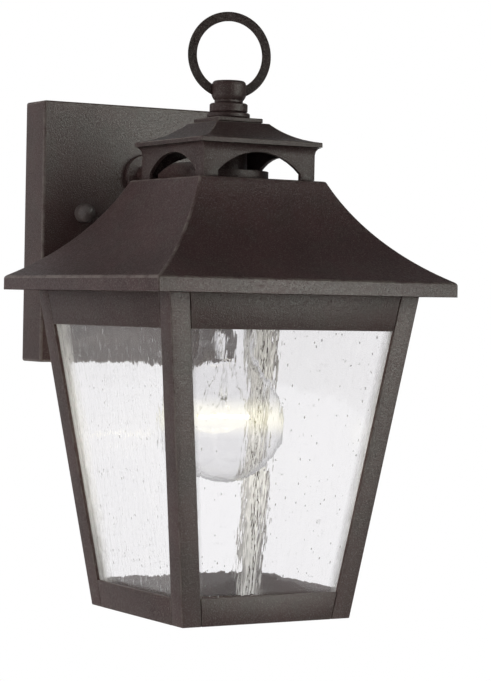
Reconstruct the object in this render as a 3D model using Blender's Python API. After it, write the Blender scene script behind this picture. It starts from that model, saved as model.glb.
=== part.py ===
"""Outdoor wall lantern: a square, tapering glass lantern under a concave hipped roof, carried by a
tube arm from a box-shaped backplate.

World frame: +Z up, the wall is the plane Y = 0 and the lantern stands out towards -Y. The origin is
on the back face of the mounting strap, at its centre.
"""
import math

import bmesh
import bpy

for old_object in list(bpy.data.objects):
    bpy.data.objects.remove(old_object, do_unlink=True)

MM = 0.001

# ---- Driving dimensions ----
GAP = 0.3 * MM                 # between pieces that touch
THREAD_GAP = 0.3 * MM          # radial, between a thread and its hole

# Wall side
STRAP_TO_WALL = 6.4 * MM       # strap's ends from the backplate's inner sides
STRAP_HALF_WIDTH = 12.0 * MM
STRAP_THICKNESS = 1.6 * MM
STRAP_SLOT_INSET = 11.0 * MM   # a slot's centre from its stud
STRAP_SLOT_HALF_LENGTH = 6.0 * MM
STRAP_SLOT_RADIUS = 2.3 * MM
PLATE_HALF_WIDTH = 57.9 * MM
PLATE_HEIGHT = 136.1 * MM
PLATE_DROP = 10.0 * MM         # plate's centre below the line of its two nuts
PLATE_DEPTH = 21.8 * MM
PLATE_WALL = 1.5 * MM
STUD_X = 35.0 * MM
STUD_RADIUS = 2.0 * MM
STUD_HOLD = 5.2 * MM           # length of stud inside the cap nut
STUD_NUT_FLATS = 7.0 * MM
STUD_NUT_HEIGHT = 3.2 * MM
CAP_NUT_RADIUS = 5.0 * MM
CAP_NUT_HEIGHT = 8.7 * MM
CAP_NUT_STRAIGHT = 3.9 * MM    # height of its straight side, under the dome
CAP_NUT_CROWN = math.radians(82.0)
GROUND_SCREW_INSET = 7.0 * MM  # its centre from the nearer slot's end
GROUND_SCREW_RADIUS = 2.0 * MM
GROUND_HEAD_FLATS = 7.0 * MM
GROUND_HEAD_HEIGHT = 2.5 * MM

# Arm
ARM_RADIUS = 4.8 * MM
ARM_BORE_RADIUS = 3.3 * MM
ARM_OVER_ROOF = 1.4 * MM       # under the arm, above the cupola's foot
ARM_TAIL = 4.0 * MM            # its end behind its nut
ARM_END_SPACE = 1.5 * MM       # between its end and the nipple's bore
ARM_COLLAR_RADIUS = 10.8 * MM
ARM_COLLAR_THICKNESS = 3.0 * MM
ARM_NUT_FLATS = 15.0 * MM
ARM_NUT_HEIGHT = 4.0 * MM

# Lantern: heights are above the eave's lower edge
EAVE_TO_PLATE = 7.2 * MM       # eave's back edge from the backplate's front
EAVE_DROP = 40.8 * MM          # eave's lower edge below the origin
EAVE_HALF = 83.0 * MM
EAVE_RIM = 6.8 * MM
EAVE_WALL = 2.5 * MM
ROOF_LEDGE = 4.3 * MM          # flat round the cupola's foot
ROOF_HEIGHT = 56.0 * MM
ROOF_CURVE_RADIUS = 110.0 * MM
ROOF_THICKNESS = 2.0 * MM
ROOF_CURVE_STEPS = 10
BOSS_INSET = 28.0 * MM         # a boss's centre from the eave's edges
BOSS_RADIUS = 4.2 * MM
BOSS_SCREW_RADIUS = 1.8 * MM
BOSS_SCREW_HOLD = 9.0 * MM
BOSS_HEAD_RADIUS = 3.6 * MM
BOSS_HEAD_HEIGHT = 2.2 * MM
PAN_THICKNESS = 1.2 * MM
PAN_HOLE_SPACE = 3.8 * MM      # round the socket

# Glazed frame
EAVE_OVERHANG = 13.5 * MM      # eave's edge beyond the frame's top
FRAME_BOTTOM_HALF = 47.1 * MM
FRAME_HEIGHT = 158.8 * MM
SHEET = 2.0 * MM               # posts and rails
SEAM = 0.35 * MM               # between a rail's end and a post
POST_LEG = 10.5 * MM
TOP_RAIL_HEIGHT = 17.1 * MM
BOTTOM_RAIL_HEIGHT = 13.6 * MM
RAIL_LIP = 1.5 * MM
TOP_LIP_WIDTH = 9.0 * MM
BOTTOM_LIP_WIDTH = 7.0 * MM
GLASS_THICKNESS = 2.5 * MM
GLASS_CORNER_GAP = 0.6 * MM    # between two panes at a corner
CLIP_HALF_WIDTH = 9.0 * MM
CLIP_THICKNESS = 0.8 * MM
CLIP_DROP = 12.0 * MM

# Cupola
CUPOLA_HALF = 31.5 * MM
CUPOLA_WALL = 2.4 * MM
CUPOLA_HEIGHT = 16.15 * MM
CUPOLA_FLARE = 2.4 * MM
CUPOLA_FLARE_HEIGHT = 3.6 * MM
CUPOLA_FLARE_STEPS = 3
ARCH_JAMB = 8.1 * MM           # cupola's corner beside an arch
ARCH_SPRING_RISE = 3.0 * MM    # above the cupola's foot
ARCH_RISE = 9.7 * MM
ARCH_STEPS = 12
CAP_OVERHANG = 0.4 * MM        # cap's edge beyond the cupola's flare
CAP_RIM = 2.3 * MM
CAP_TOP_HALF = 15.0 * MM
CAP_HEIGHT = 11.7 * MM
CAP_CURVE_RADIUS = 32.5 * MM
CAP_THICKNESS = 1.8 * MM
CAP_SEAT = 6.0 * MM            # flat underside that rests on the cupola's wall
CAP_CURVE_STEPS = 7

# Centre stack
HUB_FLANGE_RADIUS = 20.5 * MM
HUB_FLANGE_HEIGHT = 4.5 * MM
HUB_RADIUS = 9.6 * MM
HUB_HEIGHT = 17.5 * MM
NIPPLE_RADIUS = 4.8 * MM
NIPPLE_BORE_RADIUS = 3.4 * MM
NIPPLE_STOP = 2.1 * MM         # its end below the hub flange's top
ROOF_NUT_FLATS = 15.0 * MM
ROOF_NUT_HEIGHT = 3.6 * MM
ROOF_WASHER_RADIUS = 13.0 * MM
ROOF_WASHER_THICKNESS = 1.5 * MM
ROD_RADIUS = 3.0 * MM
ROD_IN_HUB = 5.0 * MM
PLINTH_HALF = 12.6 * MM
PLINTH_HEIGHT = 2.2 * MM
WASHER_RADIUS = 10.7 * MM
WASHER_HEIGHT = 2.4 * MM
COLLAR_RADIUS = 9.5 * MM
COLLAR_HEIGHT = 4.5 * MM
NECK_RADIUS = 7.1 * MM
NECK_HEIGHT = 1.5 * MM
KNOB_RADIUS = 8.7 * MM
KNOB_HEIGHT = 11.0 * MM
RING_RADIUS = 19.4 * MM
RING_ROD_RADIUS = 2.37 * MM
RING_TURN = math.radians(-12.0)
RING_SIT = 4.3 * MM            # ring's lowest centre point above the knob's foot
ROD_TO_RING = 0.9 * MM         # between the rod's end and the ring

# Lamp
SOCKET_WALL = 2.9 * MM
SOCKET_TOP = 24.0 * MM
SOCKET_SHOULDER = 3.0 * MM     # bevel round its top
SOCKET_CEILING = 17.0 * MM
SOCKET_MOUTH = -10.0 * MM
SHELL_INSET = 2.0 * MM         # shell's lower edge above the mouth
SOCKET_SHELL_WALL = 0.5 * MM
SOCKET_NUT_FLATS = 13.0 * MM
SOCKET_NUT_HEIGHT = 3.6 * MM
BASE_RADIUS = 13.1 * MM
BASE_CLEARANCE = 0.4 * MM
BASE_TIP = 13.0 * MM
BASE_SHOULDER = 9.0 * MM
BASE_FOOT = -12.5 * MM
BULB_RADIUS = 30.0 * MM
BULB_BOTTOM = -95.0 * MM
BULB_GLASS_WALL = 0.8 * MM
BULB_NECK_BULGE = 1.1 * MM     # neck's radius beyond the base's
BULB_NECK_LENGTH = 10.0 * MM
BULB_BALL_END = math.radians(30.0)     # where the ball meets the shoulder
BULB_PULL = 0.45               # how far each end of the shoulder's curve keeps its direction
STEM_RADIUS = 5.0 * MM
STEM_LENGTH = 40.0 * MM
BASE_WALL = 0.8 * MM
BASE_CROWN = 2.5 * MM          # glass insulator inside the base's top

# Outlines as shares of a piece's own radius and height
KNOB_OUTLINE = ((0.93, 0.153), (1.0, 0.255), (1.0, 0.722), (0.95, 0.884), (0.8, 1.0))     # above the neck
STEM_OUTLINE = ((1.0, 0.0), (0.6, 0.3), (0.45, 0.8), (0.6, 1.0))
BASE_TIP_OUTER = 0.45
BASE_TIP_INNER = 0.3
CONTACT_SHARE = 0.25           # centre contact's radius over the base's
CONTACT_STEM_SHARE = 0.1
SHELL_HOLE_SHARE = 1 / 3
SCREW_HEAD_TOP = 0.6           # screw head's flat, over its radius
SCREW_HEAD_EDGE = 0.5          # height of its rounded edge, over its height

ROUND = 32                     # sides of a large round piece
ROUND_SMALL = 20               # sides of a small one
HEX_SIDES = 24                 # points round a hexagon nut: a multiple of six keeps its corners
RING_STEPS = 40
RING_SIDES = 10
DOME_STEPS = 5
BALL_STEPS = 9
NECK_STEPS = 4

# ---- Sizes that follow from them ----
AXIS_OUT = PLATE_DEPTH + EAVE_TO_PLATE + EAVE_HALF         # lantern's centre line from the wall
STRAP_HALF_LENGTH = PLATE_HALF_WIDTH - PLATE_WALL - STRAP_TO_WALL
STRAP_SLOT_X = STUD_X - STRAP_SLOT_INSET
GROUND_SCREW_X = STRAP_SLOT_X - STRAP_SLOT_HALF_LENGTH - GROUND_SCREW_INSET
PLATE_FACE = PLATE_DEPTH + GAP                             # where a piece stands on the backplate
FRAME_TOP_HALF = EAVE_HALF - EAVE_OVERHANG
BOSS_OFFSET = EAVE_HALF - BOSS_INSET
ROOF_TOP_HALF = CUPOLA_HALF + ROOF_LEDGE
ROOF_CEILING = ROOF_HEIGHT - ROOF_THICKNESS
CUPOLA_FOOT = ROOF_HEIGHT + GAP
CUPOLA_TOP = CUPOLA_FOOT + CUPOLA_HEIGHT
ARCH_HALF_WIDTH = CUPOLA_HALF - ARCH_JAMB
ARCH_SPRING = CUPOLA_FOOT + ARCH_SPRING_RISE
ARCH_CROWN = ARCH_SPRING + ARCH_RISE
ARM_HEIGHT = CUPOLA_FOOT + ARM_OVER_ROOF + ARM_RADIUS      # its centre line above the eave
CAP_HALF = CUPOLA_HALF + CUPOLA_FLARE + CAP_OVERHANG
CAP_FOOT = CUPOLA_TOP + GAP
CAP_TOP = CAP_FOOT + CAP_HEIGHT
NIPPLE_HOLE_RADIUS = NIPPLE_RADIUS + THREAD_GAP
ROD_HOLE_RADIUS = ROD_RADIUS + THREAD_GAP
HUB_TOP = CUPOLA_FOOT + HUB_HEIGHT
SHELL_OUTER = BASE_RADIUS + BASE_CLEARANCE + SOCKET_SHELL_WALL
SOCKET_BORE = SHELL_OUTER + GAP
SOCKET_RADIUS = SOCKET_BORE + SOCKET_WALL
BULB_NECK_RADIUS = BASE_RADIUS + BULB_NECK_BULGE


# ---- Materials ----
def surface(name, colour, roughness, metallic=0.0, transmission=0.0):
    """A Principled BSDF material with uniform values."""
    result = bpy.data.materials.new(name)
    result.use_nodes = True
    shader = result.node_tree.nodes["Principled BSDF"]
    shader.inputs["Base Color"].default_value = (*colour, 1.0)
    shader.inputs["Roughness"].default_value = roughness
    shader.inputs["Metallic"].default_value = metallic
    shader.inputs["Transmission Weight"].default_value = transmission
    return result


BRONZE = surface("bronze_powder_coat", (0.055, 0.040, 0.038), 0.62)
ZINC = surface("zinc_plated_steel", (0.55, 0.55, 0.53), 0.38, metallic=1.0)
BRASS = surface("brass", (0.72, 0.52, 0.24), 0.35, metallic=1.0)
GREEN = surface("green_dyed_steel", (0.05, 0.22, 0.09), 0.42, metallic=0.6)
SEEDED_GLASS = surface("seeded_glass", (0.90, 0.93, 0.93), 0.06, transmission=1.0)
CLEAR_GLASS = surface("clear_glass", (0.96, 0.97, 0.97), 0.02, transmission=1.0)
PORCELAIN = surface("white_porcelain", (0.80, 0.79, 0.75), 0.25)
NICKEL = surface("nickel_plate", (0.68, 0.66, 0.62), 0.30, metallic=1.0)


# ---- Mesh helpers ----
def loft(loops, closed_section=False):
    """Skin a list of point loops of one length; closed_section joins the last loop to the first."""
    mesh = bmesh.new()
    rings = [[mesh.verts.new(point) for point in loop] for loop in loops]
    pairs = list(zip(rings, rings[1:]))
    if closed_section:
        pairs.append((rings[-1], rings[0]))
    for lower, upper in pairs:
        for here in range(len(lower)):
            there = (here + 1) % len(lower)
            mesh.faces.new((lower[here], lower[there], upper[there], upper[here]))
    if not closed_section:
        mesh.faces.new(rings[0])
        mesh.faces.new(rings[-1])
    bmesh.ops.recalc_face_normals(mesh, faces=mesh.faces)
    return mesh


def circle(radius, height, sides):
    """Points of a level circle."""
    angles = [2 * math.pi * index / sides for index in range(sides)]
    return [(radius * math.cos(a), radius * math.sin(a), height) for a in angles]


def hexagon(flats, height, sides):
    """Points along a level hexagon's outline, as many as a circle of the same number of sides."""
    points = []
    for index in range(sides):
        angle = 2 * math.pi * index / sides
        from_flat = (angle % (math.pi / 3)) - math.pi / 6
        radius = flats / 2 / math.cos(from_flat)
        points.append((radius * math.cos(angle), radius * math.sin(angle), height))
    return points


def square(half, height):
    """Corners of a level square."""
    return [(half, half, height), (-half, half, height), (-half, -half, height), (half, -half, height)]


def turned(profile, sides=ROUND, closed_section=False):
    """A solid of revolution about Z from (radius, height) points."""
    return loft([circle(radius, height, sides) for radius, height in profile], closed_section)


def tube(outer, inner, low, high, sides=ROUND):
    """A straight round tube or a flat washer."""
    return turned([(outer, low), (outer, high), (inner, high), (inner, low)], sides, closed_section=True)


def hex_nut(flats, bore, low, high, sides=HEX_SIDES):
    """A hexagon nut with a plain round bore."""
    loops = [hexagon(flats, low, sides), hexagon(flats, high, sides)]
    loops += [circle(bore, high, sides), circle(bore, low, sides)]
    return loft(loops, closed_section=True)


def box(low, high):
    """A rectangular block between two corners."""
    (x0, y0, z0), (x1, y1, z1) = low, high
    return loft([[(x0, y0, z), (x1, y0, z), (x1, y1, z), (x0, y1, z)] for z in (z0, z1)])


def part(name, mesh, material, parent, location=(0.0, 0.0, 0.0), rotation=(0.0, 0.0, 0.0)):
    """One named object of the assembly."""
    data = bpy.data.meshes.new(name)
    mesh.to_mesh(data)
    mesh.free()
    if material is not None:
        data.materials.append(material)
    data.shade_smooth()
    data.set_sharp_from_angle(angle=math.radians(30.0))
    result = bpy.data.objects.new(name, data)
    bpy.context.scene.collection.objects.link(result)
    result.parent = parent
    result.location = location
    result.rotation_euler = rotation
    return result


def tool(name, mesh, parent, location=(0.0, 0.0, 0.0), rotation=(0.0, 0.0, 0.0)):
    """A hidden solid that only shapes other pieces."""
    result = part(name, mesh, None, parent, location, rotation)
    result.hide_render = True
    result.display_type = "WIRE"
    return result


def shape_with(target, tools, operation="DIFFERENCE"):
    """Cut a piece with hidden solids, or join them to it."""
    for shaper in tools:
        boolean = target.modifiers.new(shaper.name, "BOOLEAN")
        boolean.operation = operation
        boolean.solver = "EXACT"
        boolean.object = shaper


def empty(name, location, rotation=(0.0, 0.0, 0.0)):
    """A reference frame for a group of pieces."""
    result = bpy.data.objects.new(name, None)
    bpy.context.scene.collection.objects.link(result)
    result.location = location
    result.rotation_euler = rotation
    return result


# Wall pieces are drawn flat: local X is world X, local Y is up and local Z points out of the wall.
wall_frame = empty("wall_frame", (0.0, 0.0, 0.0), (math.pi / 2, 0.0, 0.0))
# Lantern pieces are drawn about the lantern's centre line, from the eave's lower edge.
lantern_frame = empty("lantern_frame", (0.0, -AXIS_OUT, -EAVE_DROP))


# ---- Mounting strap and what is screwed into it ----
def rounded_slot(x, half_length, radius, low, high):
    """A slot-shaped block that lies along X."""
    steps = ROUND_SMALL // 2
    outline = []
    for side, start in ((1, -math.pi / 2), (-1, math.pi / 2)):
        centre = x + side * (half_length - radius)
        for index in range(steps + 1):
            angle = start + math.pi * index / steps
            outline.append((centre + radius * math.cos(angle), radius * math.sin(angle)))
    return loft([[(px, py, z) for px, py in outline] for z in (low, high)])


def make_strap():
    """Flat steel bar that is screwed to the junction box."""
    strap = part("mounting_strap",
                 box((-STRAP_HALF_LENGTH, -STRAP_HALF_WIDTH, 0.0),
                     (STRAP_HALF_LENGTH, STRAP_HALF_WIDTH, STRAP_THICKNESS)), ZINC, wall_frame)
    through = (-STRAP_THICKNESS, 2 * STRAP_THICKNESS)
    cutters = []
    for side, label in ((-1, "left"), (1, "right")):
        slot = rounded_slot(side * STRAP_SLOT_X, STRAP_SLOT_HALF_LENGTH, STRAP_SLOT_RADIUS, *through)
        cutters.append(tool("strap_slot_" + label, slot, wall_frame))
        hole = turned([(STUD_RADIUS + THREAD_GAP, z) for z in through], ROUND_SMALL)
        cutters.append(tool("strap_stud_hole_" + label, hole, wall_frame, (side * STUD_X, 0.0, 0.0)))
    hole = turned([(GROUND_SCREW_RADIUS + THREAD_GAP, z) for z in through], ROUND_SMALL)
    cutters.append(tool("strap_ground_hole", hole, wall_frame, (GROUND_SCREW_X, 0.0, 0.0)))
    shape_with(strap, cutters)


def make_ground_screw():
    """Green hexagon-head screw for the earth wire."""
    seat = STRAP_THICKNESS + GAP
    loops = [circle(GROUND_SCREW_RADIUS, height, HEX_SIDES) for height in (GAP, seat)]
    loops += [hexagon(GROUND_HEAD_FLATS, height, HEX_SIDES) for height in (seat, seat + GROUND_HEAD_HEIGHT)]
    part("ground_screw", loft(loops), GREEN, wall_frame, (GROUND_SCREW_X, 0.0, 0.0))


def make_studs():
    """Two threaded studs, each locked by a nut on the strap and closed by a domed cap nut."""
    stud_end = PLATE_FACE + STUD_HOLD
    bore = STUD_RADIUS + THREAD_GAP
    for side, label in ((-1, "left"), (1, "right")):
        place = (side * STUD_X, 0.0, 0.0)
        part("mounting_stud_" + label,
             turned([(STUD_RADIUS, GAP), (STUD_RADIUS, stud_end)], ROUND_SMALL), ZINC, wall_frame, place)
        seat = STRAP_THICKNESS + GAP
        part("stud_nut_" + label,
             hex_nut(STUD_NUT_FLATS, bore, seat, seat + STUD_NUT_HEIGHT), ZINC, wall_frame, place)

        profile = [(bore, STUD_HOLD + GAP), (bore, 0.0), (CAP_NUT_RADIUS, 0.0)]
        for index in range(DOME_STEPS + 1):
            angle = CAP_NUT_CROWN * index / DOME_STEPS
            profile.append((CAP_NUT_RADIUS * math.cos(angle),
                            CAP_NUT_STRAIGHT + (CAP_NUT_HEIGHT - CAP_NUT_STRAIGHT) * math.sin(angle)))
        part("cap_nut_" + label, turned(profile, ROUND_SMALL), BRONZE, wall_frame,
             (place[0], place[1], PLATE_FACE))


make_strap()
make_ground_screw()
make_studs()


# ---- Backplate ----
def make_backplate():
    """Shallow pressed box, open to the wall, with holes for the studs and the arm."""
    half_height = PLATE_HEIGHT / 2
    plate = part("backplate",
                 box((-PLATE_HALF_WIDTH, -half_height - PLATE_DROP, GAP),
                     (PLATE_HALF_WIDTH, half_height - PLATE_DROP, PLATE_DEPTH)), BRONZE, wall_frame)
    inside = PLATE_HALF_WIDTH - PLATE_WALL
    hollow = box((-inside, -half_height - PLATE_DROP + PLATE_WALL, -PLATE_WALL),
                 (inside, half_height - PLATE_DROP - PLATE_WALL, PLATE_DEPTH - PLATE_WALL))
    cutters = [tool("plate_hollow", hollow, wall_frame)]
    through = (PLATE_DEPTH - 2 * PLATE_WALL, PLATE_DEPTH + PLATE_WALL)
    for side, label in ((-1, "left"), (1, "right")):
        hole = turned([(STUD_RADIUS + THREAD_GAP, z) for z in through], ROUND_SMALL)
        cutters.append(tool("plate_stud_hole_" + label, hole, wall_frame, (side * STUD_X, 0.0, 0.0)))
    hole = turned([(ARM_RADIUS + THREAD_GAP, z) for z in through], ROUND_SMALL)
    cutters.append(tool("plate_arm_hole", hole, wall_frame, (0.0, ARM_HEIGHT - EAVE_DROP, 0.0)))
    shape_with(plate, cutters)


make_backplate()


# ---- Arm ----
def make_arm():
    """Threaded tube from the backplate to the hub, with a collar in front and a nut behind."""
    place = (0.0, ARM_HEIGHT - EAVE_DROP, 0.0)
    bore = ARM_RADIUS + THREAD_GAP
    seat = PLATE_DEPTH - PLATE_WALL - GAP
    nut_back = seat - ARM_NUT_HEIGHT
    part("arm_nut", hex_nut(ARM_NUT_FLATS, bore, nut_back, seat), ZINC, wall_frame, place)
    reach = AXIS_OUT - NIPPLE_HOLE_RADIUS - ARM_END_SPACE
    part("wall_arm", tube(ARM_RADIUS, ARM_BORE_RADIUS, nut_back - ARM_TAIL, reach, ROUND_SMALL),
         BRONZE, wall_frame, place)
    part("arm_collar", tube(ARM_COLLAR_RADIUS, bore, PLATE_FACE, PLATE_FACE + ARM_COLLAR_THICKNESS),
         BRONZE, wall_frame, place)


make_arm()


# ---- Roof ----
def curve_centre(top, bottom, radius):
    """Centre of the hollow arc that joins two (half-width, height) points from above."""
    span = math.dist(top, bottom)
    middle = ((top[0] + bottom[0]) / 2, (top[1] + bottom[1]) / 2)
    away = math.sqrt(radius ** 2 - (span / 2) ** 2)
    slope = ((bottom[0] - top[0]) / span, (bottom[1] - top[1]) / span)
    return middle[0] - slope[1] * away, middle[1] + slope[0] * away


def hollow_curve(centre, radius, start_half, end_half, steps):
    """(half-width, height) points of a hollow arc, from one half-width to another."""
    start = math.acos((start_half - centre[0]) / radius)
    end = math.acos((end_half - centre[0]) / radius)
    angles = [start + (end - start) * index / steps for index in range(steps + 1)]
    return [(centre[0] + radius * math.cos(a), centre[1] - radius * math.sin(a)) for a in angles]


ROOF_CENTRE = curve_centre((ROOF_TOP_HALF, ROOF_HEIGHT), (EAVE_HALF, EAVE_RIM), ROOF_CURVE_RADIUS)
PAN_LOW = GAP
PAN_HIGH = PAN_LOW + PAN_THICKNESS
BOSS_FOOT = PAN_HIGH + GAP
CORNERS = ((-1, -1), (1, -1), (1, 1), (-1, 1))


def make_roof():
    """Cast roof shell with four screw bosses under it."""
    inner_radius = ROOF_CURVE_RADIUS + ROOF_THICKNESS
    inner_half = ROOF_TOP_HALF - ROOF_THICKNESS
    inside = hollow_curve(ROOF_CENTRE, inner_radius, inner_half, EAVE_HALF - EAVE_WALL, ROOF_CURVE_STEPS)
    outside = hollow_curve(ROOF_CENTRE, ROOF_CURVE_RADIUS, EAVE_HALF, ROOF_TOP_HALF, ROOF_CURVE_STEPS)
    profile = [(inner_half, ROOF_CEILING)] + inside[1:]
    profile += [(EAVE_HALF - EAVE_WALL, 0.0), (EAVE_HALF, 0.0)] + outside
    roof = part("roof", loft([square(half, height) for half, height in profile]), BRONZE, lantern_frame)

    boss_top = ROOF_CENTRE[1] - math.sqrt(ROOF_CURVE_RADIUS ** 2
                                          - (BOSS_OFFSET + BOSS_RADIUS - ROOF_CENTRE[0]) ** 2)
    boss_top -= ROOF_THICKNESS / 2
    joins = []
    cuts = [tool("roof_nipple_hole",
                 turned([(NIPPLE_HOLE_RADIUS, ROOF_CEILING - ROOF_THICKNESS),
                         (NIPPLE_HOLE_RADIUS, ROOF_HEIGHT + ROOF_THICKNESS)], ROUND_SMALL), lantern_frame)]
    for number, (side_x, side_y) in enumerate(CORNERS, start=1):
        place = (side_x * BOSS_OFFSET, side_y * BOSS_OFFSET, 0.0)
        boss = turned([(BOSS_RADIUS, BOSS_FOOT), (BOSS_RADIUS, boss_top)], ROUND_SMALL)
        joins.append(tool(f"roof_boss_{number}", boss, lantern_frame, place))
        hole_radius = BOSS_SCREW_RADIUS + THREAD_GAP
        hole = turned([(hole_radius, 0.0), (hole_radius, BOSS_FOOT + BOSS_SCREW_HOLD + GAP)], ROUND_SMALL)
        cuts.append(tool(f"roof_boss_hole_{number}", hole, lantern_frame, place))
    shape_with(roof, joins, "UNION")
    shape_with(roof, cuts)


def make_pan():
    """Flat sheet that closes the roof from below, and the four screws that hold it to the bosses."""
    half = EAVE_HALF - EAVE_WALL - GAP
    pan = part("roof_pan", box((-half, -half, PAN_LOW), (half, half, PAN_HIGH)), BRONZE, lantern_frame)
    through = (PAN_LOW - PAN_THICKNESS, PAN_HIGH + PAN_THICKNESS)
    hole = turned([(SOCKET_RADIUS + PAN_HOLE_SPACE, z) for z in through])
    cutters = [tool("pan_socket_hole", hole, lantern_frame)]
    for number, (side_x, side_y) in enumerate(CORNERS, start=1):
        place = (side_x * BOSS_OFFSET, side_y * BOSS_OFFSET, 0.0)
        hole = turned([(BOSS_SCREW_RADIUS + THREAD_GAP, z) for z in through], ROUND_SMALL)
        cutters.append(tool(f"pan_screw_hole_{number}", hole, lantern_frame, place))
        seat = PAN_LOW - GAP
        profile = [(BOSS_HEAD_RADIUS * SCREW_HEAD_TOP, seat - BOSS_HEAD_HEIGHT),
                   (BOSS_HEAD_RADIUS, seat - BOSS_HEAD_HEIGHT * SCREW_HEAD_EDGE),
                   (BOSS_HEAD_RADIUS, seat), (BOSS_SCREW_RADIUS, seat),
                   (BOSS_SCREW_RADIUS, BOSS_FOOT + BOSS_SCREW_HOLD)]
        part(f"roof_screw_{number}", turned(profile, ROUND_SMALL), ZINC, lantern_frame, place)
    shape_with(pan, cutters)


make_roof()
make_pan()


# ---- Glazed frame: four posts, eight rails, four panes and their clips ----
SIDES = ("front", "right", "back", "left")


def side_turn(index):
    """Rotation that carries the front side's pieces to another side."""
    return 0.0, 0.0, index * math.pi / 2


def face_half(height):
    """Half-width of the tapering frame at a height below the eave."""
    return FRAME_TOP_HALF + (FRAME_TOP_HALF - FRAME_BOTTOM_HALF) / FRAME_HEIGHT * height


def face_strip(section, end_inset):
    """A piece that lies along the front side, from its (depth, height) section and end inset."""
    loops = []
    for side in (-1, 1):
        loops.append([(side * (face_half(height) - end_inset), depth - face_half(height), height)
                      for depth, height in section])
    return loft(loops)


def make_posts():
    """Corner posts of folded sheet, L-shaped in section."""
    for index in range(len(SIDES)):
        loops = []
        for height in (-FRAME_HEIGHT, 0.0):
            half = face_half(height)
            corner = -half
            inner = corner + SHEET
            leg = corner + POST_LEG
            loops.append([(corner, corner, height), (leg, corner, height), (leg, inner, height),
                          (inner, inner, height), (inner, leg, height), (corner, leg, height)])
        part(f"corner_post_{index + 1}", loft(loops), BRONZE, lantern_frame, rotation=side_turn(index))


def make_rails():
    """Top and bottom rails: folded sheet with an inward lip, butted between the posts."""
    inset = POST_LEG + SEAM
    top_section = [(0.0, 0.0), (TOP_LIP_WIDTH, 0.0), (TOP_LIP_WIDTH, -RAIL_LIP), (SHEET, -RAIL_LIP),
                   (SHEET, -TOP_RAIL_HEIGHT), (0.0, -TOP_RAIL_HEIGHT)]
    foot = -FRAME_HEIGHT
    bottom_section = [(0.0, foot), (BOTTOM_LIP_WIDTH, foot), (BOTTOM_LIP_WIDTH, foot + RAIL_LIP),
                      (SHEET, foot + RAIL_LIP), (SHEET, foot + BOTTOM_RAIL_HEIGHT),
                      (0.0, foot + BOTTOM_RAIL_HEIGHT)]
    for index, side in enumerate(SIDES):
        part("top_rail_" + side, face_strip(top_section, inset), BRONZE, lantern_frame,
             rotation=side_turn(index))
        part("bottom_rail_" + side, face_strip(bottom_section, inset), BRONZE, lantern_frame,
             rotation=side_turn(index))


def make_panes():
    """Seeded glass panes behind the frame, each held by a spring clip under the top rail's lip."""
    near = SHEET + GAP
    far = near + GLASS_THICKNESS
    low = -FRAME_HEIGHT + RAIL_LIP + GAP
    high = -RAIL_LIP - GAP
    section = [(near, low), (far, low), (far, high), (near, high)]
    clip_far = far + GAP + CLIP_THICKNESS
    clip_section = [(far + GAP, high), (TOP_LIP_WIDTH, high), (TOP_LIP_WIDTH, high - CLIP_THICKNESS),
                    (clip_far, high - CLIP_THICKNESS), (clip_far, high - CLIP_DROP),
                    (far + GAP, high - CLIP_DROP)]
    for index, side in enumerate(SIDES):
        turn = side_turn(index)
        part("glass_pane_" + side, face_strip(section, far + GLASS_CORNER_GAP), SEEDED_GLASS, lantern_frame,
             rotation=turn)
        loops = [[(across, depth - face_half(height), height) for depth, height in clip_section]
                 for across in (-CLIP_HALF_WIDTH, CLIP_HALF_WIDTH)]
        part("pane_clip_" + side, loft(loops), ZINC, lantern_frame, rotation=turn)


make_posts()
make_rails()
make_panes()


# ---- Cupola ----
def arch_outline():
    """(across, height) outline of an arch with short jambs, from below the roof's top upwards."""
    radius = (ARCH_HALF_WIDTH ** 2 + ARCH_RISE ** 2) / (2 * ARCH_RISE)
    centre = ARCH_CROWN - radius
    reach = math.asin(ARCH_HALF_WIDTH / radius)
    outline = [(-ARCH_HALF_WIDTH, ROOF_CEILING), (ARCH_HALF_WIDTH, ROOF_CEILING)]
    for index in range(ARCH_STEPS + 1):
        angle = reach - 2 * reach * index / ARCH_STEPS
        outline.append((radius * math.sin(angle), centre + radius * math.cos(angle)))
    return outline


def make_cupola():
    """Cast square lantern top with an arch through each side, flared to meet its cap."""
    inner = CUPOLA_HALF - CUPOLA_WALL
    flare_foot = CUPOLA_TOP - CUPOLA_FLARE_HEIGHT
    profile = [(inner, CUPOLA_TOP), (inner, CUPOLA_FOOT), (CUPOLA_HALF, CUPOLA_FOOT),
               (CUPOLA_HALF, flare_foot)]
    for index in range(1, CUPOLA_FLARE_STEPS + 1):
        angle = math.pi / 2 * index / CUPOLA_FLARE_STEPS
        profile.append((CUPOLA_HALF + CUPOLA_FLARE * (1 - math.cos(angle)),
                        flare_foot + CUPOLA_FLARE_HEIGHT * math.sin(angle)))
    shell = loft([square(half, height) for half, height in profile], closed_section=True)
    cupola = part("cupola_body", shell, BRONZE, lantern_frame)
    reach = CUPOLA_HALF + 2 * CUPOLA_FLARE
    outline = arch_outline()
    through_y = loft([[(across, y, height) for across, height in outline] for y in (-reach, reach)])
    cutters = [tool("cupola_arch_y", through_y, lantern_frame)]
    through_x = loft([[(x, across, height) for across, height in outline] for x in (-reach, reach)])
    cutters.append(tool("cupola_arch_x", through_x, lantern_frame))
    shape_with(cupola, cutters)


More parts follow.
